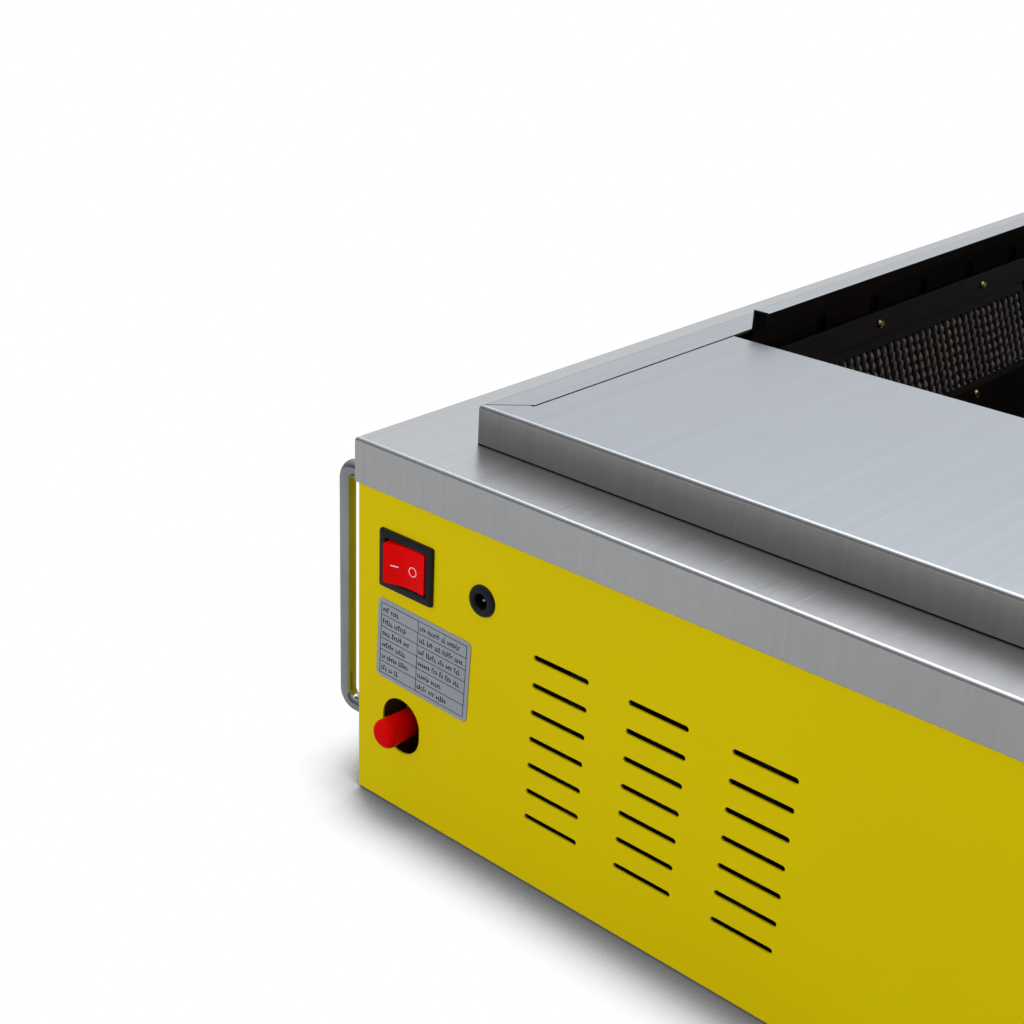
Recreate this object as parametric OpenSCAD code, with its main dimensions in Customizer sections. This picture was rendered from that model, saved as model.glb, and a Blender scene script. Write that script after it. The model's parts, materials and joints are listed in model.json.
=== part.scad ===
// Gas skewer grill for a table top: a long fire trough with three infrared burners along each side.
// Everything is drawn in case coordinates: x from the left side panel, y from the control end,
// z from the table. in_frame() then moves it to the part's own frame, whose origin is the
// centre of the footprint.

/* [Case] */
// Width over the side panels
case_w = 397; // [330:1:480]
// Length over the end panels
case_l = 1197; // [990:1:1440]
// Height of the rim's top above the table
rim_z = 209.5; // [174:0.5:252]
// Thickness of the casing sheet
sheet = 1.2; // [0.8:0.1:1.6]
// Height of the feet
foot_h = 3; // [2:0.5:12]
// Diameter of the feet
foot_d = 30; // [20:1:40]
// Thickness of the base plate
base_t = 1.5; // [1:0.1:3]
// Gap between the panels' lower edge and the table
panel_lift = 1.5; // [0.5:0.5:2]

/* [Rim and deck] */
// How far the rim stands out beyond the panels
rim_over = 1.5; // [1.5:0.1:4]
// Depth of the rim's skirt
rim_skirt = 24; // [12:1:40]
// Outer radius of the bends
bend_r = 2; // [1.8:0.1:4]
// Distance from the side panels to the raised deck
deck_side = 47.5; // [40:0.5:60]
// Distance from the end panels to the raised deck
deck_end = 36.5; // [30:0.5:50]
// Height of the deck above the rim
deck_rise = 20.5; // [16:0.5:30]
// Width of the deck's side and rear strips
strip_w = 18.7; // [15:0.1:24]
// Length of the deck plate at the control end
deck_plate = 181.5; // [150:0.5:220]
// Open seam between the deck's pieces
seam = 1.4; // [0.2:0.1:2]

/* [Rails] */
// Gap between the deck and each end of a rail
rail_end = 18; // [5:1:30]
// Height of the rails above the deck
rail_up = 11; // [5:0.5:20]
// How far the rails reach below the deck's top
rail_down = 15; // [12:0.5:15.5]
// Width of the rails' folded lip
rail_lip = 10; // [6:0.5:16]
// Depth of the lip's hem
rail_hem = 7; // [3:0.5:9]
// Thickness of the rails
rail_t = 1; // [0.8:0.1:2]
// Width of an arched notch
notch_w = 9.5; // [6:0.5:12]
// Height of an arched notch
notch_h = 9.5; // [8:0.5:12]
// Distance from the rail's end to the first notch
notch_first = 70; // [30:1:90]
// Distance between notches
notch_pitch = 55.6; // [40:0.1:80]

/* [Burners] */
// Lean of the burner faces back from upright, in degrees
face_tilt = 22.6; // [15:0.1:28]
// Distance from the side panel to the middle of the burner face
face_x = 86; // [84:0.5:96]
// Distance from the rim's top down to the middle of the burner face
face_drop = 34; // [30:0.5:38]
// Height of the fibre mat
mat_h = 44; // [36:1:50]
// Thickness of the fibre mat
mat_t = 5; // [3:0.5:8]
// Gap between the trough's front end and the first burner
burner_end = 18; // [6:1:24]
// Gap between the last burner and the trough's rear end
burner_rear = 4; // [2:1:20]
// Gap between neighbouring burners
burner_gap = 4; // [2:0.5:10]
// Depth of the burner box behind its face
burner_d = 38; // [30:1:40]
// Thickness of the burner sheet
burner_t = 1.5; // [1:0.1:2]
// Height of the clamp strip above a burner
clamp_h = 13.6; // [10:0.1:16]
// Visible flange between the mat and the clamp strip
flange_h = 6.1; // [4:0.1:8]
// Outer diameter of the mixing tube
mix_d = 24; // [18:1:26]
// Length of the mixing tube
mix_l = 150; // [100:5:160]
// Distance between the brass screws
screw_pitch = 121.5; // [90:0.5:150]

/* [Gas] */
// Distance from the left side panel to the gas inlet
inlet_x = 33; // [28:0.5:40]
// Height of the gas inlet
inlet_z = 54; // [46:0.5:60]
// Width of the inlet's clearance hole
inlet_w = 27.6; // [24:0.1:32]
// Height of the inlet's clearance hole beyond its width
inlet_long = 5; // [0:0.5:8]
// Outer diameter of the inlet thread
thread_d = 12.8; // [10:0.1:13.2]
// Diameter of the inlet cap's closed end
cap_d = 16.6; // [16:0.1:18]
// How far the inlet cap stands out
cap_out = 14.5; // [10:0.5:30]
// Outer diameter of the gas manifold
manifold_d = 16; // [12:0.5:20]
// Distance from the right side panel to the manifold
manifold_in = 25; // [22:0.5:30]
// Outer diameter of the feed tubes
feed_d = 6; // [4:0.5:8]
// Height of the valve stems
stem_z = 80; // [76:1:90]
// Diameter of the valve stems
stem_d = 8; // [6:0.5:10]
// Distance between the two valves of a pair
valve_pair = 60; // [48:1:80]
// Diameter of the knobs
knob_d = 40; // [30:1:46]
// Height of the knobs
knob_h = 20; // [16:1:26]
// Gap between a knob and the side panel
knob_gap = 6; // [5:0.5:12]

/* [Electrics] */
// Width of the switch bezel
bezel_w = 38; // [34:0.5:42]
// Height of the switch bezel
bezel_h = 32.5; // [28:0.5:36]
// Distance from the left side panel to the switch
switch_x = 36; // [30:0.5:40]
// Height of the switch
switch_z = 149.8; // [140:0.5:150]
// Travel of the rocker, in degrees
rock = 16; // [10:1:20]
// Distance from the left side panel to the power socket
jack_x = 88.4; // [76:0.5:95]
// Diameter of the power socket's flange
jack_d = 17; // [14:0.5:20]
// Size of the square fan frame
fan_size = 120; // [80:1:124]
// Height of the fan's axis
fan_z = 87; // [76:1:90]

/* [Vents] */
// Length of a vent slot
slot_l = 34.3; // [20:0.1:40]
// Height of a vent slot
slot_h = 3.2; // [2:0.1:5]
// Distance between the columns of slots
slot_col = 58.1; // [50:0.1:62]
// Distance between the rows of slots
slot_row = 15.2; // [8:0.1:17]
// Height of the top row of slots
slot_top = 132.4; // [120:0.1:140]

/* [Tray, handles and plate] */
// Height of the drip tray
tray_h = 42; // [25:1:50]
// Gap between the tray and the trough walls
tray_gap = 1.8; // [1:0.1:4]
// How far the tray's grip stands out
grip_out = 20; // [12:1:30]
// Diameter of the handle bars
handle_d = 9; // [7:0.5:12]
// Distance between a handle's legs
handle_h = 144; // [110:1:146]
// Distance from the side panel to the bar's axis
handle_out = 33; // [28:0.5:40]
// Distance from the end panel to a handle
handle_y = 22.5; // [16:0.5:40]
// Height of a handle's lower leg
handle_z = 35; // [20:0.5:36]
// Width of the rating plate
plate_w = 66.8; // [50:0.1:70]
// Height of the rating plate
plate_h = 46.8; // [30:0.1:48]

/* [Hidden] */
$fn = 64;
per_side = 3;                           // burners along each side
eps = 0.5;                              // overshoot of a cut, or overlap of joined blocks
near = 0.3;                             // gap between sheets that lie side by side
touch = 0.02;                           // gap between sheets that are screwed together
flange_in = 14;                         // width of the panels' lower flanges
run = 0.05;                             // radial clearance of a running fit
base_z = foot_h + base_t;               // top of the base plate
panel_top = rim_z - sheet - near;
deck_z = rim_z + deck_rise;
deck_w = case_w - 2 * deck_side;
deck_l = case_l - 2 * deck_end;
strip_x = deck_side + strip_w;          // inner edge of a side strip
trough_y0 = deck_end + deck_plate;
trough_y1 = case_l - deck_end - strip_w;
trough_l = trough_y1 - trough_y0;
rail_l = trough_l - 2 * rail_end;
notch_count = floor((rail_l - notch_first - 30) / notch_pitch) + 1;
hole_x = strip_x - 8.2;                 // edge of the rim's opening
hole_y = 12;                            // how far that opening passes the trough's ends
face_z = rim_z - face_drop;
burner_pitch = (trough_l - burner_end - burner_rear + burner_gap) / per_side;
burner_l = burner_pitch - burner_gap;
box_h = mat_h + 10;
clamp_t = 1.5;
clamp_low = mat_h / 2 + flange_h;
wall_top = mat_h / 2 + 3.5;             // upper edge of the trough wall, below the face's middle
wall_bend = mat_h / 2 + 16;
low_screw = mat_h / 2 + 7.6;
wall_x = on_face(clamp_t / 2 + touch, -wall_bend)[0];
trim_end = 4;                           // how far clamps and walls pass the trough's ends
mix_in = burner_d + mix_d / 2 - 2;      // axis of the mixing tube behind the face
mix_mouth = 100;                        // its mouth, before the burner's middle
jet_x = on_face(-mix_in, 0)[0];
jet_z = on_face(-mix_in, 0)[1];
jet_d = 12;
manifold_x = case_w - manifold_in;
bay_y = 110;                            // where the gas pipe crosses the control end
valve_x0 = case_w - 45;
valve_x1 = case_w - 7;
valve_w = 24;
valve_top = stem_z + 14;
push = 4;                               // travel of a pressed knob
tray_x0 = wall_x + clamp_t / 2 + tray_gap;
tray_w = case_w - 2 * tray_x0;
tray_y0 = trough_y0 + 7;
tray_z = base_z + near;
tray_t = 1.2;
face_gap = 0.3;
mouth = 1.2;                            // clearance round the tray in the rear panel
handle_bend = 8;
head_d = 5;
head_h = 1.8;
shank_d = 3.5;
screw_first = 21.2;                     // first upper screw, from the trough's start
low_first = 112;                        // first lower screw, from the trough's start
front_y = -(case_l + face_gap + tray_t + grip_out - cap_out) / 2;

// A point on the left burner face: a outwards from it, b up its slope
function on_face(a, b) = [face_x + a * cos(face_tilt) - b * sin(face_tilt),
    rim_z - face_drop + a * sin(face_tilt) + b * cos(face_tilt)];
function burner_y(i) = trough_y0 + burner_end + burner_l / 2 + i * burner_pitch;
function jet_y(i) = burner_y(i) - mix_mouth - 14;
// Valves 1 to 6 alternate: the odd ones feed the left burners, the even ones the right
function valve_y(n) = jet_y(floor((n - 1) / 2)) - (n % 2 == 1 ? valve_pair : 0);
function high_screws() = [for (i = [0 : floor((trough_l - screw_first - 20) / screw_pitch)])
    trough_y0 + screw_first + i * screw_pitch];
function low_screws() = [for (i = [0 : floor((trough_l - low_first - 20) / screw_pitch)])
    trough_y0 + low_first + i * screw_pitch];

module in_frame() translate([-case_w / 2, front_y, 0]) children();
module on_right() translate([case_w, 0, 0]) mirror([1, 0, 0]) children();
module at_face(y) translate([face_x, y, face_z]) rotate([0, -face_tilt, 0]) children();
// Local z runs out of the right side panel and local -x points up
module at_valve(n) translate([case_w, valve_y(n), stem_z]) rotate([0, 90, 0]) children();
module at_control(x, z) translate([x, 0, z]) rotate([-90, 0, 0]) children();

// Rectangle with its two upper corners rounded
module bent_top(w, h, r) {
    square([w, h - r]);
    translate([r, 0]) square([w - 2 * r, h]);
    for (x = [r, w - r]) translate([x, h - r]) circle(r = r);
}

// Box whose four upper edges are bends that meet in mitred corners
module bent_box(w, l, h, r) intersection() {
    translate([0, l, 0]) rotate([90, 0, 0]) linear_extrude(l) bent_top(w, h, r);
    rotate([90, 0, 90]) linear_extrude(w) bent_top(l, h, r);
}

// Sheet of thickness t whose middle follows the points
module folded(points, t) {
    for (i = [0 : len(points) - 2]) {
        a = points[i];
        d = points[i + 1] - a;
        translate(a) rotate(atan2(d[1], d[0])) translate([0, -t / 2]) square([norm(d), t]);
    }
    for (i = [1 : 1 : len(points) - 2]) translate(points[i]) circle(d = t, $fn = 24);
}

// A folded sheet as drawn in x and z, running from y0 to y1
module run_y(y0, y1) translate([0, y1, 0]) rotate([90, 0, 0]) linear_extrude(y1 - y0) children();

module obround(l, h) {
    square([l - h, h], center = true);
    for (s = [-1, 1]) translate([s * (l - h) / 2, 0]) circle(d = h, $fn = 32);
}

module round_plate(w, h, r) {
    square([w - 2 * r, h], center = true);
    square([w, h - 2 * r], center = true);
    for (x = [-1, 1], y = [-1, 1]) translate([x * (w / 2 - r), y * (h / 2 - r)]) circle(r = r);
}

// Round tube along points joined by straight runs at right angles, with bends of radius r
function side_of(u) = abs(u[2]) > 0.5 ? [1, 0, 0] : [0, 0, 1];
module frame_at(o, x, y, z) multmatrix([[x[0], y[0], z[0], o[0]], [x[1], y[1], z[1], o[1]],
    [x[2], y[2], z[2], o[2]], [0, 0, 0, 1]]) children();
module pipe(p, d, r) {
    last = len(p) - 1;
    for (i = [0 : last - 1]) {
        u = (p[i + 1] - p[i]) / norm(p[i + 1] - p[i]);
        a = p[i] + (i == 0 ? 0 : r) * u;
        b = p[i + 1] - (i == last - 1 ? 0 : r) * u;
        frame_at(a, side_of(u), cross(u, side_of(u)), u) cylinder(d = d, h = norm(b - a), $fn = 32);
    }
    for (i = [1 : 1 : last - 1]) {
        u = (p[i] - p[i - 1]) / norm(p[i] - p[i - 1]);
        v = (p[i + 1] - p[i]) / norm(p[i + 1] - p[i]);
        frame_at(p[i] + r * (v - u), -v, u, cross(u, v))
            rotate_extrude(angle = 90, $fn = 48) translate([r, 0]) circle(d = d, $fn = 32);
    }
}

// Pan-head screw, head up from z = 0 with a drive slot
module pan_screw(shank) {
    difference() {
        union() {
            cylinder(d = head_d, h = head_h * 0.4, $fn = 32);
            translate([0, 0, head_h * 0.4]) cylinder(d1 = head_d, d2 = head_d * 0.6,
                h = head_h * 0.6, $fn = 32);
        }
        translate([-head_d, -0.4, head_h * 0.6]) cube([2 * head_d, 0.8, head_h]);
    }
    translate([0, 0, -shank]) cylinder(d = shank_d, h = shank, $fn = 32);
}

// Screws of the left side, or with drill their holes
module face_screws(drill = false) {
    for (y = high_screws()) at_face(y) translate([clamp_t + touch, 0, clamp_low + clamp_h / 2])
        rotate([0, 90, 0]) screw_or_hole(drill);
    for (y = low_screws()) at_face(y) translate([clamp_t + touch, 0, -low_screw])
        rotate([0, 90, 0]) screw_or_hole(drill);
}
module screw_or_hole(drill) {
    if (drill) translate([0, 0, -8]) cylinder(d = shank_d + 0.2, h = 16, $fn = 32);
    else pan_screw(clamp_t + burner_t);
}

module foot_places() for (x = [32, case_w - 32], y = [45, case_l / 2, case_l - 45])
    translate([x, y, 0]) children();
module base_screw_places() {
    for (x = [sheet + 7, case_w - sheet - 7], i = [0 : 5])
        translate([x, 100 + i * (case_l - 200) / 5, 0]) children();
    for (x = [80, case_w - 80], y = [sheet + 7, case_l - sheet - 7])
        translate([x, y, 0]) children();
}

// ---- casing ----
module base_plate() color("silver") in_frame() difference() {
    translate([sheet, sheet, foot_h]) cube([case_w - 2 * sheet, case_l - 2 * sheet, base_t]);
    // air slots under the burners
    for (x = [55, case_w - 55], i = [0 : 7]) translate([x, trough_y0 + 40 + i * (trough_l - 80) / 7,
        foot_h - eps]) linear_extrude(base_t + 2 * eps) rotate(90) obround(60, 8);
    base_screw_places() cylinder(d = shank_d + 0.2, h = 20, $fn = 32);
}

module end_sheet() {
    translate([0, 0, panel_lift]) cube([case_w, sheet, panel_top - panel_lift]);
    translate([sheet, 0, base_z]) cube([case_w - 2 * sheet, flange_in, sheet]);
    for (x = [sheet + near, case_w - 2 * sheet - near]) translate([x, 0, base_z])
        cube([sheet, 12, panel_top - base_z]);
}

module front_panel() color("gold") in_frame() difference() {
    end_sheet();
    for (c = [-1 : 1], r = [0 : 6]) at_control(case_w / 2 + c * slot_col, slot_top - r * slot_row)
        translate([0, 0, -eps]) linear_extrude(sheet + 2 * eps) obround(slot_l, slot_h);
    at_control(switch_x, switch_z) translate([0, 0, -eps])
        linear_extrude(sheet + 2 * eps) square([bezel_w - 3.4, bezel_h - 3.9], center = true);
    at_control(jack_x, switch_z) translate([0, 0, -eps]) cylinder(d = 12.2, h = 4);
    at_control(inlet_x, inlet_z) translate([0, 0, -eps]) linear_extrude(4)
        rotate(90) obround(inlet_w + inlet_long, inlet_w);
    base_screw_places() cylinder(d = shank_d + 0.2, h = 20, $fn = 32);
}

module rear_panel() color("gold") in_frame() difference() {
    translate([0, case_l, 0]) mirror([0, 1, 0]) end_sheet();
    translate([tray_x0 - mouth, case_l - 20, base_z - eps])
        cube([tray_w + 2 * mouth, 30, tray_h + near + mouth + eps]);
    base_screw_places() cylinder(d = shank_d + 0.2, h = 20, $fn = 32);
}

module side_sheet() difference() {
    union() {
        translate([0, sheet, panel_lift])
            cube([sheet, case_l - 2 * sheet, panel_top - panel_lift]);
        translate([0, flange_in + 1, base_z]) cube([flange_in, case_l - 2 * flange_in - 2, sheet]);
    }
    base_screw_places() cylinder(d = shank_d + 0.2, h = 20, $fn = 32);
}
module left_panel() color("gold") in_frame() side_sheet();
module right_panel() color("gold") in_frame() difference() {
    on_right() side_sheet();
    for (n = [1 : 6]) at_valve(n) translate([0, 0, -4]) cylinder(d = stem_d + 6, h = 8);
}

module top_rim() color("gainsboro") in_frame() difference() {
    translate([-rim_over, -rim_over, rim_z - rim_skirt])
        bent_box(case_w + 2 * rim_over, case_l + 2 * rim_over, rim_skirt, bend_r);
    translate([sheet - rim_over, sheet - rim_over, rim_z - rim_skirt - eps])
        bent_box(case_w + 2 * (rim_over - sheet), case_l + 2 * (rim_over - sheet),
            rim_skirt - sheet + eps, bend_r - sheet);
    translate([hole_x, trough_y0 - hole_y, rim_z - 5])
        cube([case_w - 2 * hole_x, trough_l + 2 * hole_y, 10]);
}

// ---- deck ----
module deck_part(outline) intersection() {
    difference() {
        translate([deck_side, deck_end, rim_z]) bent_box(deck_w, deck_l, deck_rise, bend_r);
        translate([deck_side + sheet, deck_end + sheet, rim_z - eps])
            bent_box(deck_w - 2 * sheet, deck_l - 2 * sheet, deck_rise - sheet + eps,
                bend_r - sheet);
    }
    translate([0, 0, rim_z - 2]) linear_extrude(deck_rise + 4) polygon(outline);
}
deck_flange = 14;                       // depth of the flanges round the trough
module deck_relief() for (x = [strip_x, case_w - strip_x]) translate([x, deck_end + strip_w, rim_z])
    cylinder(d = 2.4, h = deck_rise + 5, $fn = 24);

module side_strip() difference() {
    union() {
        deck_part([[deck_side, deck_end + seam], [strip_x, deck_end + strip_w + seam],
            [strip_x, trough_y1 - seam], [deck_side, case_l - deck_end - seam]]);
        translate([strip_x - sheet, deck_end + strip_w + 5, deck_z - deck_flange])
            cube([sheet, trough_y1 - deck_end - strip_w - 10, deck_flange - sheet / 2]);
    }
    deck_relief();
}
module left_strip() color("lightgray") in_frame() side_strip();
module right_strip() color("lightgray") in_frame() on_right() side_strip();

module front_deck() color("lightgray") in_frame() difference() {
    union() {
        deck_part([[deck_side, deck_end], [case_w - deck_side, deck_end],
            [case_w - strip_x, deck_end + strip_w], [case_w - strip_x - seam, deck_end + strip_w],
            [case_w - strip_x - seam, trough_y0], [strip_x + seam, trough_y0],
            [strip_x + seam, deck_end + strip_w], [strip_x, deck_end + strip_w]]);
        translate([strip_x + seam, trough_y0 - sheet, deck_z - deck_flange])
            cube([case_w - 2 * strip_x - 2 * seam, sheet, deck_flange - sheet / 2]);
    }
    deck_relief();
}

module rear_deck() color("lightgray") in_frame() {
    deck_part([[deck_side, case_l - deck_end], [case_w - deck_side, case_l - deck_end],
        [case_w - strip_x, trough_y1], [strip_x, trough_y1]]);
    translate([strip_x + seam, trough_y1, deck_z - deck_flange])
        cube([case_w - 2 * strip_x - 2 * seam, sheet, deck_flange - sheet / 2]);
}

// ---- fire trough ----
module rail() {
    x = strip_x + near + rail_t / 2;
    top = deck_z + rail_up - rail_t / 2;
    low = deck_z - rail_down;
    tip = x + rail_lip - rail_t;
    y0 = trough_y0 + rail_end;
    difference() {
        run_y(y0, trough_y1 - rail_end)
            folded([[x, low], [x, top], [tip, top], [tip, top + rail_t / 2 - rail_hem]], rail_t);
        for (i = [0 : notch_count - 1])
            translate([x - 3, y0 + notch_first + i * notch_pitch, low]) {
                translate([0, -notch_w / 2, -eps]) cube([6, notch_w, notch_h - notch_w / 2 + eps]);
                translate([0, 0, notch_h - notch_w / 2]) rotate([0, 90, 0])
                    cylinder(d = notch_w, h = 6, $fn = 32);
            }
    }
}
module left_rail() color("dimgray") in_frame() rail();
module right_rail() color("dimgray") in_frame() on_right() rail();

module wall() difference() {
    run_y(trough_y0 - trim_end, trough_y1 + trim_end)
        folded([on_face(clamp_t / 2 + touch, -wall_top), on_face(clamp_t / 2 + touch, -wall_bend),
            [wall_x, base_z + clamp_t / 2], [wall_x - 13, base_z + clamp_t / 2]], clamp_t);
    face_screws(true);
}
module left_wall() color("darkslategray") in_frame() wall();
module right_wall() color("darkslategray") in_frame() on_right() wall();

module clamp() difference() {
    run_y(trough_y0 - trim_end, trough_y1 + trim_end)
        folded([on_face(clamp_t / 2 + touch, clamp_low), on_face(clamp_t / 2 + touch, clamp_low + clamp_h),
            [hole_x + 2, rim_z + clamp_t / 2], [hole_x - 8, rim_z + clamp_t / 2]], clamp_t);
    face_screws(true);
}
module left_clamp() color("black") in_frame() clamp();
module right_clamp() color("black") in_frame() on_right() clamp();

// Upper part across the burners, lower part between the walls, open below z0
module bulkhead(y, z0) translate([0, y, 0]) {
    shoulder = on_face(0, -wall_bend)[1];
    translate([hole_x + 1, 0, shoulder])
        cube([case_w - 2 * hole_x - 2, sheet, rim_z + 4 - shoulder]);
    translate([wall_x, 0, z0]) cube([case_w - 2 * wall_x, sheet, shoulder + eps - z0]);
}
module front_bulkhead() color("darkslategray") in_frame()
    bulkhead(trough_y0 - trim_end - near - sheet, base_z);
module rear_bulkhead() color("darkslategray") in_frame()
    bulkhead(trough_y1 + trim_end + near, tray_z + tray_h + mouth);

// ---- burners: 1 to 3 on the left, 4 to 6 on the right, from the control end ----
module burner_body(i) difference() {
    at_face(burner_y(i)) difference() {
        union() {
            translate([-burner_t, -burner_l / 2, -wall_bend + 2])
                cube([burner_t, burner_l, wall_bend - 2 + clamp_low + clamp_h - 2]);
            translate([-burner_d, -burner_l / 2, -box_h / 2])
                cube([burner_d - burner_t / 2, burner_l, box_h]);
            translate([-mix_in, -mix_mouth, 0]) rotate([-90, 0, 0])
                cylinder(d = mix_d, h = mix_l);
        }
        translate([burner_t - burner_d, burner_t - burner_l / 2, burner_t - box_h / 2])
            cube([burner_d - 2 * burner_t, burner_l - 2 * burner_t, box_h - 2 * burner_t]);
        translate([-2 * burner_t, -burner_l / 2 + flange_h, -mat_h / 2])
            cube([4 * burner_t, burner_l - 2 * flange_h, mat_h]);
        translate([-mix_in, -mix_mouth - eps, 0]) rotate([-90, 0, 0])
            cylinder(d = mix_d - 2 * burner_t, h = mix_l - burner_t + eps);
        // way from the mixing tube into the box
        translate([-mix_in, mix_l - mix_mouth - 40, -6]) cube([mix_in - burner_d + 6, 36, 12]);
    }
    face_screws(true);
}
module burner_mat(i) at_face(burner_y(i))
    translate([clamp_t - mat_t, near - burner_l / 2 + flange_h, near - mat_h / 2])
        cube([mat_t, burner_l - 2 * flange_h - 2 * near, mat_h - 2 * near]);
module burner_part(n) color("dimgray") in_frame() {
    if (n <= per_side) burner_body(n - 1);
    else on_right() burner_body(n - 1 - per_side);
}
module mat_part(n) color("gray") in_frame() {
    if (n <= per_side) burner_mat(n - 1);
    else on_right() burner_mat(n - 1 - per_side);
}

module burner_screws() color("darkgoldenrod") in_frame() {
    face_screws();
    on_right() face_screws();
}
module casing_screws() color("silver") in_frame() base_screw_places()
    translate([0, 0, foot_h]) mirror([0, 0, 1]) pan_screw(base_t + 3);

// ---- gas ----
fitting_in = 30;                        // where the inlet fitting joins the pipe
cap_in = 11;                            // how far the cap reaches behind the panel
module inlet_fitting() color("darkgray") in_frame() at_control(inlet_x, inlet_z) difference() {
    union() {
        translate([0, 0, -4]) cylinder(d = thread_d, h = cap_in + 5);
        translate([0, 0, cap_in + 1]) cylinder(d = 21, h = 8, $fn = 6);
        translate([0, 0, cap_in + 8]) cylinder(d = manifold_d + 3, h = fitting_in - cap_in - 8);
    }
    translate([0, 0, -5]) cylinder(d = 8, h = fitting_in + 10);
    translate([0, 0, fitting_in - 8]) cylinder(d = manifold_d, h = 10);
}

module inlet_cap() color("red") in_frame() at_control(inlet_x, inlet_z)
    translate([0, 0, -cap_out]) rotate_extrude() {
        tip_r = 4;
        wide = cap_d / 2;
        slim = thread_d / 2 + 0.9;
        long = cap_out + cap_in;
        square([wide - tip_r, 2]);
        intersection() {
            translate([wide - tip_r, tip_r]) circle(r = tip_r);
            square([wide, tip_r]);
        }
        difference() {
            polygon([[0, 1], [wide - tip_r, 1], [wide - tip_r, tip_r], [wide, tip_r],
                [slim, long], [0, long]]);
            translate([-1, 2]) square([thread_d / 2 + run + 1, long]);
        }
    }

module gas_manifold() color("silver") in_frame() {
    route = [[inlet_x, fitting_in - 8, inlet_z], [inlet_x, bay_y, inlet_z],
        [manifold_x, bay_y, inlet_z], [manifold_x, valve_y(6) + 40, inlet_z]];
    difference() {
        pipe(route, manifold_d, 24);
        pipe([route[0] - [0, 1, 0], route[1], route[2], route[3] - [0, 2, 0]],
            manifold_d - 3, 24);
        for (n = [1 : 6]) translate([manifold_x, valve_y(n), inlet_z])
            cylinder(r = 5 + run, h = manifold_d, $fn = 32);
    }
}

module valve_bodies() color("darkkhaki") in_frame() for (n = [1 : 6]) {
    y = valve_y(n);
    low = inlet_z + manifold_d / 2 + near;
    difference() {
        union() {
            translate([valve_x0, y - valve_w / 2, low])
                cube([valve_x1 - valve_x0, valve_w, valve_top - low]);
            translate([manifold_x, y, low - 3]) cylinder(r = 5, h = 5, $fn = 32);
            at_valve(n) translate([0, 0, valve_x1 - case_w - 1]) cylinder(d = stem_d + 8, h = 6);
        }
        at_valve(n) translate([0, 0, -26]) cylinder(d = stem_d + 2 * run, h = 30);
    }
}
module valve_stem(n) color("silver") in_frame() at_valve(n) translate([0, 0, -19])
    cylinder(d = stem_d, h = 19 + knob_gap + knob_h - 6);

module knob(n) color("black") in_frame() at_valve(n) translate([0, 0, knob_gap]) difference() {
    union() {
        cylinder(d = knob_d, h = 4);
        translate([0, 0, 4]) cylinder(d1 = knob_d - 3, d2 = knob_d - 8, h = 4);
        intersection() {
            translate([-knob_d / 2, -5, 0]) cube([knob_d, 10, knob_h]);
            cylinder(d1 = knob_d, d2 = knob_d - 5, h = knob_h);
        }
    }
    translate([0, 0, -eps]) cylinder(d = stem_d + 2 * run, h = knob_h - 5.5 + eps);
}

// Round tube along points at right angles, with an elbow block at each corner
module elbowed(p, d) {
    for (i = [0 : len(p) - 2]) {
        u = (p[i + 1] - p[i]) / norm(p[i + 1] - p[i]);
        frame_at(p[i], side_of(u), cross(u, side_of(u)), u)
            cylinder(d = d, h = norm(p[i + 1] - p[i]), $fn = 32);
    }
    for (i = [1 : 1 : len(p) - 2]) translate(p[i]) cube(d + 3, center = true);
}

// Six tubes: an even valve's goes straight up, an odd one's round the control end to the left
lane = 62;                              // first tube's distance from the side panels
lane_pitch = 12;                        // distance between tubes that run side by side
lane_y = 150;                           // where the first tube crosses the control end
module feed_tubes() color("silver") in_frame() for (n = [1 : 6]) {
    i = floor((n - 1) / 2);
    top = jet_z - jet_d / 2;
    out = lane + lane_pitch * i;
    over = lane_y + (lane_pitch + 2) * i;
    if (n % 2 == 0) translate([case_w - jet_x, valve_y(n), valve_top])
        cylinder(d = feed_d, h = top - valve_top, $fn = 32);
    else elbowed([[valve_x0, valve_y(n), stem_z], [case_w - out, valve_y(n), stem_z],
        [case_w - out, over, stem_z], [out, over, stem_z], [out, jet_y(i), stem_z],
        [jet_x, jet_y(i), stem_z], [jet_x, jet_y(i), top]], feed_d);
}

// Brass jets, each pointing into its burner's mixing tube
module jets() color("goldenrod") in_frame() for (i = [0 : per_side - 1], x = [jet_x, case_w - jet_x])
    translate([x, jet_y(i), jet_z]) rotate([-90, 0, 0]) {
        translate([0, 0, -8]) cylinder(d = jet_d, h = 16, $fn = 32);
        translate([0, 0, 8]) cylinder(d1 = 8, d2 = 5, h = 5, $fn = 32);
    }

// ---- electrics ----
bezel_out = 2;
well_w = bezel_w - 8.6;
well_h = bezel_h - 9.1;
pivot_in = 3;                           // rocker's axis behind the panel's face
module switch_body() color("black") in_frame() at_control(switch_x, switch_z) difference() {
    union() {
        translate([0, 0, -bezel_out]) linear_extrude(bezel_out)
            round_plate(bezel_w, bezel_h, 1.5);
        translate([0, 0, -eps]) linear_extrude(22)
            square([bezel_w - 3.8, bezel_h - 4.3], center = true);
    }
    translate([0, 0, -bezel_out - eps]) linear_extrude(11 + eps)
        square([well_w, well_h], center = true);
    translate([0, 0, pivot_in]) rotate([90, 0, 0])
        cylinder(r = 1.5 + run, h = well_h + 3, center = true, $fn = 32);
}

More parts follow.
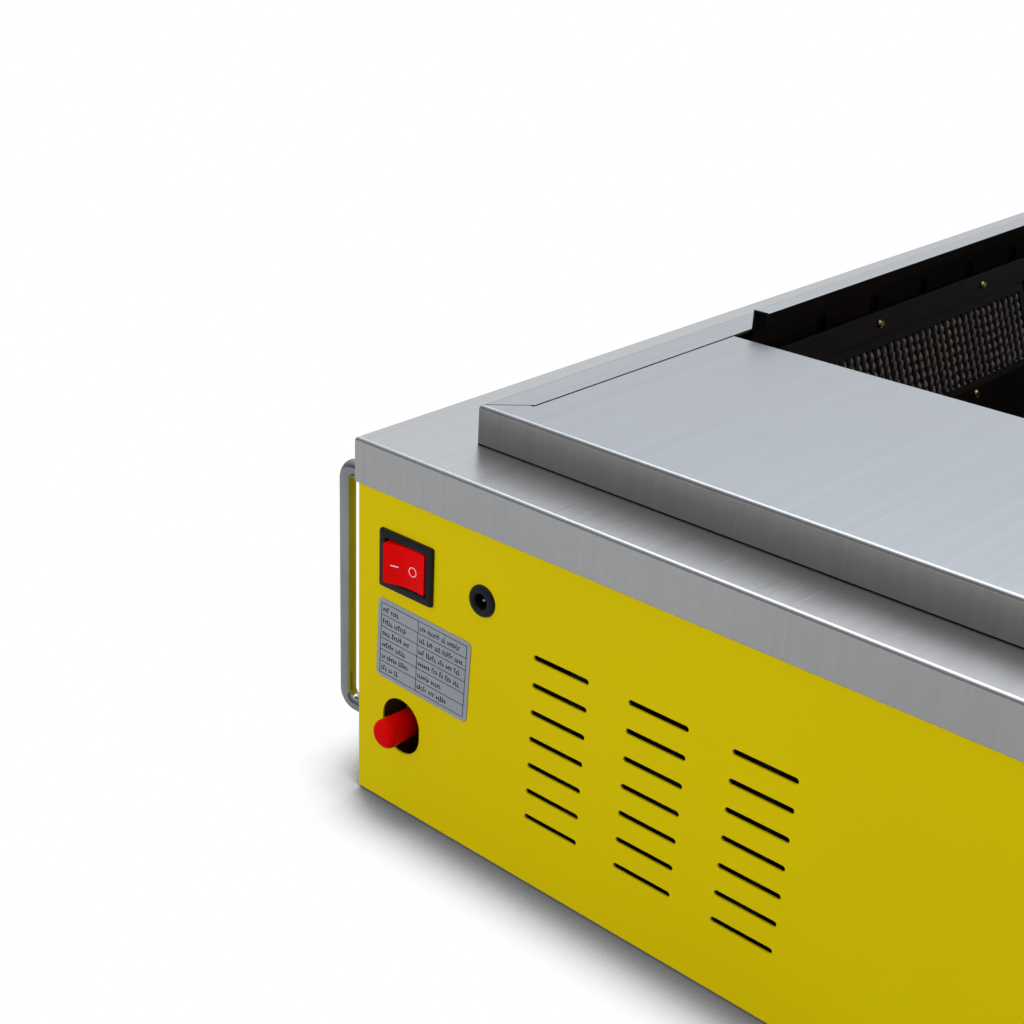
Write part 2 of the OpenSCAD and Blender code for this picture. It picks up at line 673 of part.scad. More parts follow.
module switch_rocker() color("red") in_frame() translate([switch_x, pivot_in, switch_z]) {
    half = well_w / 2 - 1.7;
    lift = half * tan(rock / 2);
    rotate([0, 0, rock / 2]) translate([0, 0, -(well_h - 1) / 2]) linear_extrude(well_h - 1)
        polygon([[-half, -5.2 - lift], [0, -5.2], [half, -5.2 - lift],
            [half - 1, 3.5], [1 - half, 3.5]]);
    cylinder(r = 1.5, h = well_h + 2.4, center = true, $fn = 32);
}

module power_socket() color("black") in_frame() at_control(jack_x, switch_z) {
    difference() {
        union() {
            translate([0, 0, -1]) cylinder(d = jack_d, h = 1);
            translate([0, 0, -2]) cylinder(d1 = jack_d - 2, d2 = jack_d, h = 1);
            translate([0, 0, -eps]) cylinder(d = 12, h = 16);
            translate([0, 0, sheet]) cylinder(d = 17, h = 3, $fn = 6);
        }
        translate([0, 0, -3]) cylinder(d = 8, h = 14);
    }
    cylinder(d = 2.4, h = 12, $fn = 24);
}

fan_y = 10;
fan_t = 25;
sweep_d = fan_size - 6;
module fan_frame() color("black") in_frame() translate([case_w / 2, fan_y, fan_z])
    rotate([-90, 0, 0]) {
        difference() {
            translate([-fan_size / 2, -fan_size / 2, 0]) cube([fan_size, fan_size, fan_t]);
            translate([0, 0, -eps]) cylinder(d = sweep_d, h = fan_t + 2 * eps);
            for (x = [-1, 1], y = [-1, 1]) translate([x, y, 0] * (fan_size / 2 - 7.5))
                translate([0, 0, -eps]) cylinder(d = 4.3, h = fan_t + 2 * eps, $fn = 24);
        }
        for (a = [45 : 90 : 315]) rotate(a) translate([16, -2, fan_t - 3])
            cube([sweep_d / 2 - 14, 4, 3]);
        translate([0, 0, fan_t - 3]) cylinder(d = 38, h = 3);
        translate([0, 0, 4]) cylinder(d = 3, h = fan_t - 5, $fn = 24);
        // legs down to the base plate, clear of the end panel's flange
        for (x = [-1, 1]) translate([x * (fan_size / 2 - 8) - 6, fan_size / 2 - 1,
            flange_in - fan_y + near])
            cube([12, fan_z - base_z - fan_size / 2 + 1, fan_t - flange_in + fan_y - near]);
    }

module fan_rotor() color("dimgray") in_frame() translate([case_w / 2, fan_y, fan_z])
    rotate([-90, 0, 0]) difference() {
        union() {
            translate([0, 0, 3]) cylinder(d = 36, h = fan_t - 7);
            intersection() {
                for (a = [0 : 6]) rotate(a * 360 / 7) translate([15, 0, fan_t / 2 - 1])
                    rotate([35, 0, 0]) translate([0, -0.75, -9]) cube([sweep_d / 2, 1.5, 18]);
                translate([0, 0, 3]) cylinder(d = sweep_d - 3, h = fan_t - 7);
            }
        }
        translate([0, 0, 2]) cylinder(d = 3 + 2 * run, h = fan_t, $fn = 24);
    }

// Leads from the power socket to the switch and on to the fan
module wiring() color("black") in_frame() {
    pipe([[jack_x, 15.5, switch_z], [jack_x, 44, switch_z], [switch_x + 8, 44, switch_z],
        [switch_x + 8, 21.5, switch_z]], 4, 6);
    pipe([[switch_x - 8, 21.5, switch_z - 6], [switch_x - 8, 58, switch_z - 6],
        [case_w / 2 - fan_size / 2 + 12, 58, switch_z - 6],
        [case_w / 2 - fan_size / 2 + 12, 58, fan_z + fan_size / 2 - 20],
        [case_w / 2 - fan_size / 2 + 12, fan_y + fan_t, fan_z + fan_size / 2 - 20]], 4, 6);
}

// ---- tray, handles, plate and feet ----
module drip_tray() color("silver") in_frame() {
    inner = tray_w - 2 * tray_t;
    end = case_l + face_gap;
    difference() {
        translate([tray_x0, tray_y0, tray_z]) cube([tray_w, end - tray_y0, tray_h]);
        translate([tray_x0 + tray_t, tray_y0 + tray_t, tray_z + tray_t])
            cube([inner, end - tray_y0 - tray_t, tray_h]);
    }
    // face plate with its folded grip
    translate([tray_x0 - 8, end, tray_z + 2]) cube([tray_w + 16, tray_t, tray_h + 6]);
    translate([tray_x0 + 20, end, tray_z + tray_h + 8 - tray_t])
        cube([tray_w - 40, grip_out + tray_t, tray_t]);
    translate([tray_x0 + 20, end + grip_out, tray_z + tray_h - 2])
        cube([tray_w - 40, tray_t, 10 - tray_t / 2]);
}

module carry_handles() color("slategray") in_frame()
    for (y = [handle_y, case_l - handle_y], right = [false, true]) {
        wall_at = right ? case_w : 0;
        bar_at = right ? case_w + handle_out : -handle_out;
        pipe([[wall_at, y, handle_z], [bar_at, y, handle_z], [bar_at, y, handle_z + handle_h],
            [wall_at, y, handle_z + handle_h]], handle_d, handle_bend);
    }

plate_x = 48.2;
plate_z = 101.6;
module rating_plate() color("darkgray") in_frame() at_control(plate_x, plate_z)
    rotate(2) translate([0, 0, -0.5]) linear_extrude(0.5) round_plate(plate_w, plate_h, 3);

module feet() color("black") in_frame() foot_places() cylinder(d = foot_d, h = foot_h);

base_plate();
front_panel();
rear_panel();
left_panel();
right_panel();
top_rim();
left_strip();
right_strip();
front_deck();
rear_deck();
left_rail();
right_rail();
left_wall();
right_wall();
left_clamp();
right_clamp();
front_bulkhead();
rear_bulkhead();
burner_part(1);  // burner_body_1
burner_part(2);  // burner_body_2
burner_part(3);  // burner_body_3
burner_part(4);  // burner_body_4
burner_part(5);  // burner_body_5
burner_part(6);  // burner_body_6
mat_part(1);  // burner_mat_1
mat_part(2);  // burner_mat_2
mat_part(3);  // burner_mat_3
mat_part(4);  // burner_mat_4
mat_part(5);  // burner_mat_5
mat_part(6);  // burner_mat_6
burner_screws();
casing_screws();
inlet_fitting();
inlet_cap();
gas_manifold();
feed_tubes();
jets();
valve_bodies();
valve_stem(1);  // valve_stem_1
valve_stem(2);  // valve_stem_2
valve_stem(3);  // valve_stem_3
valve_stem(4);  // valve_stem_4
valve_stem(5);  // valve_stem_5
valve_stem(6);  // valve_stem_6
knob(1);  // knob_1
knob(2);  // knob_2
knob(3);  // knob_3
knob(4);  // knob_4
knob(5);  // knob_5
knob(6);  // knob_6
switch_body();
switch_rocker();
power_socket();
fan_frame();
fan_rotor();
wiring();
drip_tray();
carry_handles();
rating_plate();
feet();
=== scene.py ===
import json
import math
import random

import bmesh
import bpy
from mathutils import Matrix, Vector


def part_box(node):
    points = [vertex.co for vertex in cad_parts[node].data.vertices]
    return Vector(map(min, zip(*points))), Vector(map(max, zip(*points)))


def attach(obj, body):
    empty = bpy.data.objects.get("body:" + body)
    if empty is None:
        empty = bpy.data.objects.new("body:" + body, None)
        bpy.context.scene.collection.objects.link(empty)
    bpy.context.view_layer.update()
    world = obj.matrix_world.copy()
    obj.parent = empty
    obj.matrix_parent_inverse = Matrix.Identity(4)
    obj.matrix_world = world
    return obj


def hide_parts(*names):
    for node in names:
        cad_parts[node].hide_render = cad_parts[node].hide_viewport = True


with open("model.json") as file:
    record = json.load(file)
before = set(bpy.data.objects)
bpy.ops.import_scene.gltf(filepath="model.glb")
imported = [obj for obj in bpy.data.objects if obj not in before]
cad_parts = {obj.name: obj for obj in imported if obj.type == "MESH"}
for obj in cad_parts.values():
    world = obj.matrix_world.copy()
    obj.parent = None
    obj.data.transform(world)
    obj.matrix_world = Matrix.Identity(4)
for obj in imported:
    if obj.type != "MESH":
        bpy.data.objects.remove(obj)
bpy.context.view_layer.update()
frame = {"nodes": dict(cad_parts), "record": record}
print("frame loaded:", len(frame["nodes"]), "nodes")

panelLow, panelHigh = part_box("front_panel")
caseW = (panelHigh.x - panelLow.x) * 1000
toFrame = Vector((panelLow.x, panelLow.y, 0.0))  # the case's corner at the control end


def at(x, y, z):
    # case millimetres to the frame's metres
    return Vector((x / 1000, y / 1000, z / 1000)) + toFrame


def middleOf(node):
    low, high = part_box(node)
    return (low + high) / 2


def onPanel(node):
    # the point of the control panel's face that a fitting is centred on
    middle = middleOf(node)
    return Vector((middle.x, toFrame.y, middle.z))


def newNode(tree, kind, values=None, **settings):
    node = tree.nodes.new(kind)
    for key, value in settings.items():
        setattr(node, key, value)
    for key, value in (values or {}).items():
        node.inputs[key].default_value = value
    return node


def link(tree, source, target):
    tree.links.new(source, target)


def ramp(tree, source, stops):
    node = newNode(tree, "ShaderNodeValToRGB")
    while len(node.color_ramp.elements) < len(stops):
        node.color_ramp.elements.new(0.5)
    for element, (place, value) in zip(node.color_ramp.elements, stops):
        element.position = place
        element.color = (*value, 1) if isinstance(value, tuple) else (value, value, value, 1)
    link(tree, source, node.inputs["Fac"])
    return node.outputs["Color"]


def math2(tree, operation, a, b=None):
    node = newNode(tree, "ShaderNodeMath", operation=operation)
    for socket, value in zip(node.inputs, (a, b)):
        if value is None:
            continue
        if hasattr(value, "default_value"):
            link(tree, value, socket)
        else:
            socket.default_value = value
    return node.outputs[0]


def mixColour(tree, factor, a, b):
    node = newNode(tree, "ShaderNodeMix", data_type="RGBA")
    for socket, value in ((node.inputs[0], factor), (node.inputs[6], a), (node.inputs[7], b)):
        if hasattr(value, "default_value"):
            link(tree, value, socket)
        else:
            socket.default_value = (*value, 1) if isinstance(value, tuple) else value
    return node.outputs[2]


def newGroup(name, outputs, scale=None):
    group = bpy.data.node_groups.new(name, "ShaderNodeTree")
    if scale is not None:
        socket = group.interface.new_socket("Scale", in_out="INPUT", socket_type="NodeSocketFloat")
        socket.default_value = scale
    for label, kind in outputs:
        group.interface.new_socket(label, in_out="OUTPUT", socket_type="NodeSocket" + kind)
    return group, group.nodes.new("NodeGroupInput"), group.nodes.new("NodeGroupOutput")


def sheetGrain():
    # rolling grain along the sheet's length, carried down over the end folds
    group, start, end = newGroup("sheetGrain", (("Streak", "Float"), ("Fine", "Float")), 1.0)
    coord = newNode(group, "ShaderNodeTexCoord")
    place = newNode(group, "ShaderNodeSeparateXYZ")
    facing = newNode(group, "ShaderNodeSeparateXYZ")
    link(group, coord.outputs["Object"], place.inputs[0])
    link(group, coord.outputs["Normal"], facing.inputs[0])
    sideways = math2(group, "ABSOLUTE", facing.outputs[0])
    across = newNode(group, "ShaderNodeMix", data_type="FLOAT")
    link(group, sideways, across.inputs[0])
    link(group, place.outputs[0], across.inputs[2])
    link(group, place.outputs[2], across.inputs[3])
    for label, fast, slow, detail in (("Streak", 420, 2.2, 3), ("Fine", 2600, 14, 2)):
        vector = newNode(group, "ShaderNodeCombineXYZ")
        link(group, math2(group, "MULTIPLY", across.outputs[0], fast), vector.inputs[0])
        link(group, math2(group, "MULTIPLY", place.outputs[1], slow), vector.inputs[1])
        link(group, math2(group, "MULTIPLY", place.outputs[2], slow * 3), vector.inputs[2])
        noise = newNode(group, "ShaderNodeTexNoise", {"Detail": detail, "Roughness": 0.6})
        link(group, vector.outputs[0], noise.inputs["Vector"])
        link(group, start.outputs["Scale"], noise.inputs["Scale"])
        link(group, noise.outputs[0], end.inputs[label])
    return group


def softSpots():
    # wiped patches and faint stains, in two sizes
    group, start, end = newGroup("softSpots", (("Patch", "Float"), ("Speck", "Float")), 1.0)
    coord = newNode(group, "ShaderNodeTexCoord")
    for label, scale, low, high in (("Patch", 9.0, 0.42, 0.72), ("Speck", 140.0, 0.66, 0.74)):
        noise = newNode(group, "ShaderNodeTexNoise", {"Detail": 4.0, "Roughness": 0.55})
        link(group, coord.outputs["Object"], noise.inputs["Vector"])
        link(group, math2(group, "MULTIPLY", start.outputs["Scale"], scale), noise.inputs["Scale"])
        limits = newNode(group, "ShaderNodeMapRange", {"From Min": low, "From Max": high})
        link(group, noise.outputs[0], limits.inputs["Value"])
        link(group, limits.outputs[0], end.inputs[label])
    return group


def moulded():
    # fine spark-eroded texture of moulded plastic and powder paint
    group, start, end = newGroup("moulded", (("Height", "Float"), ("Tone", "Float")), 1.0)
    coord = newNode(group, "ShaderNodeTexCoord")
    for label, scale, detail in (("Height", 900.0, 2.0), ("Tone", 16.0, 4.0)):
        noise = newNode(group, "ShaderNodeTexNoise", {"Detail": detail, "Roughness": 0.5})
        link(group, coord.outputs["Object"], noise.inputs["Vector"])
        link(group, math2(group, "MULTIPLY", start.outputs["Scale"], scale), noise.inputs["Scale"])
        link(group, noise.outputs[0], end.inputs[label])
    return group


groups = {"sheetGrain": sheetGrain(), "softSpots": softSpots(), "moulded": moulded()}


def useGroup(tree, name, scale=1.0):
    node = newNode(tree, "ShaderNodeGroup", node_tree=groups[name])
    node.inputs["Scale"].default_value = scale
    return node


def newMaterial(name, **values):
    material = bpy.data.materials.new(name)
    material.use_nodes = True
    tree = material.node_tree
    shader = tree.nodes["Principled BSDF"]
    for key, value in values.items():
        shader.inputs[key.replace("_", " ")].default_value = value
    return material, tree, shader


def bumpInto(tree, shader, height, strength, distance, bevel=0.0):
    bump = newNode(tree, "ShaderNodeBump", {"Strength": strength, "Distance": distance})
    link(tree, height, bump.inputs["Height"])
    if bevel:
        rounding = newNode(tree, "ShaderNodeBevel", {"Radius": bevel}, samples=4)
        link(tree, rounding.outputs[0], bump.inputs["Normal"])
    link(tree, bump.outputs[0], shader.inputs["Normal"])


def darkFoldsAndFootShade(tree):
    # 1 on the folds that hang inside the trough, painted near-black, and along the foot of the
    # raised deck, a painted contact shade
    zone = {"halfWidth": 0.1334, "start": -0.3856, "end": 0.545, "below": 0.2287, "foot": 0.2101}
    coord = newNode(tree, "ShaderNodeTexCoord")
    place = newNode(tree, "ShaderNodeSeparateXYZ")
    link(tree, coord.outputs["Object"], place.inputs[0])
    across = math2(tree, "LESS_THAN", math2(tree, "ABSOLUTE", place.outputs[0]), zone["halfWidth"])
    along = math2(tree, "GREATER_THAN", place.outputs[1], zone["start"])
    under = math2(tree, "LESS_THAN", place.outputs[2], zone["below"])
    before = math2(tree, "LESS_THAN", place.outputs[1], zone["end"])
    length = math2(tree, "MULTIPLY", along, before)
    inside = math2(tree, "MULTIPLY", math2(tree, "MULTIPLY", across, length), under)
    return math2(tree, "MAXIMUM", inside, math2(tree, "LESS_THAN", place.outputs[2], zone["foot"]))


def skirtShadeMask(tree):
    # 1 on the skirts, 0 on the flat top: where the skirts' painted shade goes
    coord = newNode(tree, "ShaderNodeTexCoord")
    facing = newNode(tree, "ShaderNodeSeparateXYZ")
    link(tree, coord.outputs["Normal"], facing.inputs[0])
    mask = newNode(tree, "ShaderNodeMapRange", {"From Min": 0.9, "From Max": 0.4})
    link(tree, facing.outputs[2], mask.inputs["Value"])
    return mask.outputs[0]


def brushedSteel(name, tint, dark, rough, stain=0.25, grain=0.25, scale=1.0, darkened=False):
    material, tree, shader = newMaterial(name, Metallic=1.0)
    lines = useGroup(tree, "sheetGrain", scale)
    spots = useGroup(tree, "softSpots")
    base = mixColour(tree, lines.outputs["Streak"], dark, tint)
    stained = math2(tree, "MULTIPLY", spots.outputs["Patch"], stain)
    base = mixColour(tree, stained, base, tuple(c * steelLook["stained"] for c in tint))
    if darkened:
        # painted shade: the upright skirts are coloured darker and more neutral than the top, by
        # facing alone
        skirt = mixColour(tree, lines.outputs["Streak"], steelLook["skirtShadeDark"],
                          steelLook["skirtShadeTint"])
        base = mixColour(tree, skirtShadeMask(tree), base, skirt)
        # near-black on the folds inside the trough, and a painted contact shade along the deck's
        # foot
        base = mixColour(tree, darkFoldsAndFootShade(tree), base, steelLook["darkened"])
    link(tree, base, shader.inputs["Base Color"])
    roughness = math2(tree, "MULTIPLY_ADD", lines.outputs["Fine"], steelLook["roughSpan"])
    roughness.node.inputs[2].default_value = rough - steelLook["roughSpan"] / 2
    wiped = math2(tree, "MULTIPLY", spots.outputs["Patch"], steelLook["wiped"])
    link(tree, math2(tree, "ADD", roughness, wiped), shader.inputs["Roughness"])
    bumpInto(tree, shader, lines.outputs["Fine"], grain, steelLook["grainDeep"], steelLook["edge"])
    return material


def mouldedPlastic(name, colour, rough, coat=0.0, bump=0.12, scale=1.0, glow=0.0, shine=0.25):
    material, tree, shader = newMaterial(name, Roughness=rough, Coat_Weight=coat,
                                         Coat_Roughness=0.12, Specular_IOR_Level=shine)
    grain = useGroup(tree, "moulded", scale)
    low = tuple(c * 0.82 for c in colour)
    link(tree, mixColour(tree, grain.outputs["Tone"], low, tuple(min(1, c * 1.15) for c in colour)),
         shader.inputs["Base Color"])
    bumpInto(tree, shader, grain.outputs["Height"], bump, 0.00003, 0.0003)
    if glow:
        shader.inputs["Emission Color"].default_value = (*colour, 1)
        shader.inputs["Emission Strength"].default_value = glow
    return material


steelLook = {
    "rimTint": (0.70, 0.71, 0.725), "rimDark": (0.60, 0.61, 0.625),
    "deckTint": (0.58, 0.62, 0.66), "deckDark": (0.48, 0.51, 0.55),
    # the skirt colours are a painted shade for the upright faces
    "skirtShadeTint": (0.56, 0.55, 0.545), "skirtShadeDark": (0.44, 0.43, 0.43),
    # darkened is the near-black of the trough folds and the painted contact shade at the deck's
    # foot
    "darkened": (0.022, 0.014, 0.010), "stained": 0.72, "roughSpan": 0.16, "wiped": 0.05,
    "grainDeep": 0.00002, "edge": 0.0004,
}
materials = {
    "stainless_rim": brushedSteel("rimSteel", steelLook["rimTint"], steelLook["rimDark"], 0.30),
    "stainless_deck": brushedSteel("deckSteel", steelLook["deckTint"], steelLook["deckDark"], 0.32,
                                   darkened=True),
    "galvanised_steel": brushedSteel("zincSheet", (0.50, 0.52, 0.53), (0.36, 0.38, 0.39), 0.45, 0.6,
                                     scale=0.4),
    "stainless_tray": brushedSteel("traySteel", (0.50, 0.50, 0.50), (0.34, 0.34, 0.34), 0.38, 0.5),
    "zinc_steel": brushedSteel("zincPlated", (0.62, 0.61, 0.56), (0.44, 0.43, 0.40), 0.30, 0.4,
                               scale=2.0),
    "black_plastic": mouldedPlastic("blackPlastic", (0.006, 0.006, 0.009), 0.36),
    "red_plastic": mouldedPlastic("rockerRed", (0.80, 0.004, 0.004), 0.22, 0.4, 0.03, glow=0.12),
    "red_vinyl": mouldedPlastic("capVinyl", (0.62, 0.0006, 0.0006), 0.42, 0.0, 0.1, 0.7,
                                shine=0.04),
    "cable_black": mouldedPlastic("cableSheath", (0.010, 0.010, 0.012), 0.5),
    "rubber_foot": mouldedPlastic("footRubber", (0.014, 0.014, 0.014), 0.75, bump=0.3, scale=0.6),
}


def yellowPaint():
    look = {"light": (0.66, 0.53, 0.0006), "deep": (0.62, 0.48, 0.0005), "rough": 0.34,
            "peel": 0.10, "peelDeep": 0.00005, "dust": 0.05, "dusty": (0.50, 0.45, 0.12),
            "wiped": 0.07, "edge": 0.0005}
    material, tree, shader = newMaterial("yellowPaint", Specular_IOR_Level=0.05)
    grain = useGroup(tree, "moulded", 0.5)
    spots = useGroup(tree, "softSpots", 0.7)
    base = mixColour(tree, grain.outputs["Tone"], look["deep"], look["light"])
    dust = math2(tree, "MULTIPLY", spots.outputs["Speck"], look["dust"])
    link(tree, mixColour(tree, dust, base, look["dusty"]), shader.inputs["Base Color"])
    rough = math2(tree, "MULTIPLY_ADD", spots.outputs["Patch"], look["wiped"])
    rough.node.inputs[2].default_value = look["rough"]
    link(tree, rough, shader.inputs["Roughness"])
    bumpInto(tree, shader, grain.outputs["Height"], look["peel"], look["peelDeep"], look["edge"])
    return material


def sootBlack(name, look):
    # heat-resisting black with a brown bloom and dull burnt patches; on the burner clamps the brown
    # patches are also a painted reddish reflection
    material, tree, shader = newMaterial(name, Metallic=look["metallic"],
                                         Specular_IOR_Level=look["shine"])
    spots = useGroup(tree, "softSpots", look["scale"])
    lines = useGroup(tree, "sheetGrain", 0.6)
    base = mixColour(tree, spots.outputs["Patch"], look["black"], look["brownBloomAndSheen"])
    base = mixColour(tree, math2(tree, "MULTIPLY", spots.outputs["Speck"], 0.5), base, look["ash"])
    link(tree, base, shader.inputs["Base Color"])
    rough = ramp(tree, lines.outputs["Streak"],
                 ((0, look["rough"] - 0.08), (1, look["rough"] + 0.1)))
    link(tree, rough, shader.inputs["Roughness"])
    bumpInto(tree, shader, lines.outputs["Fine"], 0.15, 0.00003, 0.0003)
    return material


def railSteel():
    # the lip's top stays bright steel; every face that doesn't face up is near-black and not
    # metallic, partly heat stain and rust and partly painted shade and dark reflection from the
    # trough
    look = {"tint": (0.60, 0.63, 0.66), "dark": (0.50, 0.53, 0.56), "darkened": (0.0025, 0.002, 0.002),
            "rust": (0.010, 0.0035, 0.0015), "rough": 0.34}
    material, tree, shader = newMaterial("railSteel", Specular_IOR_Level=0.25)
    coord = newNode(tree, "ShaderNodeTexCoord")
    facing = newNode(tree, "ShaderNodeSeparateXYZ")
    place = newNode(tree, "ShaderNodeSeparateXYZ")
    link(tree, coord.outputs["Normal"], facing.inputs[0])
    link(tree, coord.outputs["Object"], place.inputs[0])
    lines = useGroup(tree, "sheetGrain")
    spots = useGroup(tree, "softSpots", 2.0)
    bright = mixColour(tree, lines.outputs["Streak"], look["dark"], look["tint"])
    # darkened faces: heat stain and rust patches together with painted shade and reflection
    darkened = mixColour(tree, spots.outputs["Patch"], look["darkened"], look["rust"])
    up = newNode(tree, "ShaderNodeMapRange", {"From Min": 0.55, "From Max": 0.8})
    link(tree, facing.outputs[2], up.inputs["Value"])
    link(tree, mixColour(tree, up.outputs[0], darkened, bright), shader.inputs["Base Color"])
    metal = newNode(tree, "ShaderNodeMapRange", {"To Min": 0.0, "To Max": 1.0})
    link(tree, up.outputs[0], metal.inputs["Value"])
    link(tree, metal.outputs[0], shader.inputs["Metallic"])
    rough = math2(tree, "MULTIPLY_ADD", lines.outputs["Fine"], 0.14)
    rough.node.inputs[2].default_value = look["rough"] - 0.07
    link(tree, rough, shader.inputs["Roughness"])
    bumpInto(tree, shader, lines.outputs["Fine"], 0.2, 0.00002)
    return material


def cordSteel():
    look = {"light": (0.092, 0.078, 0.070), "dark": (0.016, 0.013, 0.012), "rough": 0.42}
    material, tree, shader = newMaterial("cordSteel", Metallic=0.55, Roughness=look["rough"])
    coord = newNode(tree, "ShaderNodeTexCoord")
    noise = newNode(tree, "ShaderNodeTexNoise", {"Scale": 420.0, "Detail": 3.0})
    link(tree, coord.outputs["Object"], noise.inputs["Vector"])
    spots = useGroup(tree, "softSpots", 1.5)
    base = mixColour(tree, noise.outputs[0], look["dark"], look["light"])
    link(tree, mixColour(tree, math2(tree, "MULTIPLY", spots.outputs["Patch"], 0.35), base,
                         look["dark"]), shader.inputs["Base Color"])
    fibres = newNode(tree, "ShaderNodeTexNoise", {"Scale": 2600.0, "Detail": 2.0})
    link(tree, coord.outputs["Object"], fibres.inputs["Vector"])
    bumpInto(tree, shader, fibres.outputs[0], 0.6, 0.00015)
    return material


def polishedBar():
    look = {"bright": (0.48, 0.50, 0.52), "dull": (0.38, 0.40, 0.42), "rough": 0.16, "specks": 0.08}
    material, tree, shader = newMaterial("chromeBar", Metallic=1.0)
    spots = useGroup(tree, "softSpots", 3.0)
    link(tree, mixColour(tree, spots.outputs["Patch"], look["bright"], look["dull"]),
         shader.inputs["Base Color"])
    rough = math2(tree, "MULTIPLY_ADD", spots.outputs["Speck"], look["specks"])
    rough.node.inputs[2].default_value = look["rough"]
    link(tree, rough, shader.inputs["Roughness"])
    return material


def brassMetal():
    look = {"bright": (0.34, 0.27, 0.11), "dull": (0.16, 0.10, 0.04), "rough": 0.2, "uneven": 0.15}
    material, tree, shader = newMaterial("brass", Metallic=1.0)
    spots = useGroup(tree, "softSpots", 4.0)
    grain = useGroup(tree, "moulded", 1.5)
    link(tree, mixColour(tree, spots.outputs["Patch"], look["bright"], look["dull"]),
         shader.inputs["Base Color"])
    rough = math2(tree, "MULTIPLY_ADD", grain.outputs["Tone"], look["uneven"])
    rough.node.inputs[2].default_value = look["rough"]
    link(tree, rough, shader.inputs["Roughness"])
    return material


def plateFace():
    look = {"dark": (0.31, 0.34, 0.39), "light": (0.40, 0.43, 0.48), "stain": (0.24, 0.27, 0.32),
            "stained": 0.3}
    material, tree, shader = newMaterial("plateFace", Metallic=0.35, Roughness=0.42)
    lines = useGroup(tree, "sheetGrain", 1.2)
    spots = useGroup(tree, "softSpots", 3.0)
    base = mixColour(tree, lines.outputs["Fine"], look["dark"], look["light"])
    stained = math2(tree, "MULTIPLY", spots.outputs["Patch"], look["stained"])
    link(tree, mixColour(tree, stained, base, look["stain"]), shader.inputs["Base Color"])
    bumpInto(tree, shader, lines.outputs["Fine"], 0.1, 0.00002, 0.0002)
    return material


wallLook = {"black": (0.0012, 0.0006, 0.0005), "brownBloomAndSheen": (0.007, 0.0016, 0.0008),
            "ash": (0.006, 0.004, 0.003), "rough": 0.45, "metallic": 0.0, "scale": 1.2,
            "shine": 0.03}
# the clamps' brown patches are partly a painted reddish reflection
clampLook = {"black": (0.0020, 0.0017, 0.0015), "brownBloomAndSheen": (0.006, 0.003, 0.0018),
             "ash": (0.010, 0.008, 0.006), "rough": 0.38, "metallic": 0.0, "scale": 1.6,
             "shine": 0.06}
burnerLook = {"black": (0.0035, 0.003, 0.0028), "brownBloomAndSheen": (0.008, 0.004, 0.002),
              "ash": (0.012, 0.010, 0.008), "rough": 0.5, "metallic": 0.1, "scale": 1.4,
              "shine": 0.08}
materials.update({
    "yellow_paint": yellowPaint(),
    "heat_black_steel": sootBlack("wallBlack", wallLook),
    "black_enamel": sootBlack("clampBlack", clampLook),
    "burner_steel": sootBlack("burnerSteel", burnerLook),
    "rail_steel": railSteel(),
    "fibre_mat": cordSteel(),
    "chrome_bar": polishedBar(),
    "brass": brassMetal(),
    "plate_aluminium": plateFace(),
})
inkDark = mouldedPlastic("inkDark", (0.014, 0.015, 0.022), 0.5)
markWhite = mouldedPlastic("markWhite", (0.85, 0.80, 0.80), 0.35)

for part in frame["record"]["subparts"]:
    mesh = frame["nodes"][part["node"]].data
    mesh.materials.clear()
    mesh.materials.append(materials[part["material_slot"]])
print("materials set on the frame")


def addPiece(name, bm, material, body, replaced=(), smooth=30):
    bmesh.ops.recalc_face_normals(bm, faces=bm.faces)
    mesh = bpy.data.meshes.new(name)
    bm.to_mesh(mesh)
    bm.free()
    mesh.materials.append(material)
    for polygon in mesh.polygons:
        polygon.use_smooth = True
    mesh.set_sharp_from_angle(angle=math.radians(smooth))
    obj = bpy.data.objects.new(name, mesh)
    bpy.context.scene.collection.objects.link(obj)
    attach(obj, body)
    if replaced:
        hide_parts(*replaced)


def loftRings(bm, rings):
    # closed rings bridged one after another, with both ends filled
    shell = bmesh.new()
    loops = []
    for ring in rings:
        verts = [shell.verts.new(point) for point in ring]
        loops.append([shell.edges.new(pair) for pair in zip(verts, verts[1:] + verts[:1])])
    for low, high in zip(loops, loops[1:]):
        bmesh.ops.bridge_loops(shell, edges=low + high)
    for loop in (loops[0], loops[-1]):
        bmesh.ops.edgeloop_fill(shell, edges=loop)
    mesh = bpy.data.meshes.new("loft")
    shell.to_mesh(mesh)
    shell.free()
    bm.from_mesh(mesh)
    bpy.data.meshes.remove(mesh)


def roundedRing(w, h, r, y, steps=5):
    # outline seen from the control end, in millimetres round the origin
    points = []
    for cx, cz, turn in ((1, 1, 0), (-1, 1, 90), (-1, -1, 180), (1, -1, 270)):
        for i in range(steps + 1):
            angle = math.radians(turn + 90 * i / steps)
            points.append((cx * (w / 2 - r) + r * math.cos(angle), y,
                           cz * (h / 2 - r) + r * math.sin(angle)))
    return points


def turned(bm, profile, matrix, sides=48):
    # profile of (radius, height) pairs spun round the matrix's z axis
    verts = [bm.verts.new((r, 0, z)) for r, z in profile]
    edges = [bm.edges.new(pair) for pair in zip(verts, verts[1:])]
    bmesh.ops.spin(bm, geom=verts + edges, cent=(0, 0, 0), axis=(0, 0, 1),
                   angle=math.tau, steps=sides, use_merge=True)
    bmesh.ops.remove_doubles(bm, verts=bm.verts[:], dist=1e-5)
    fresh = [v for v in bm.verts if not v.tag]
    bmesh.ops.transform(bm, matrix=matrix, verts=fresh)
    for v in fresh:
        v.tag = True


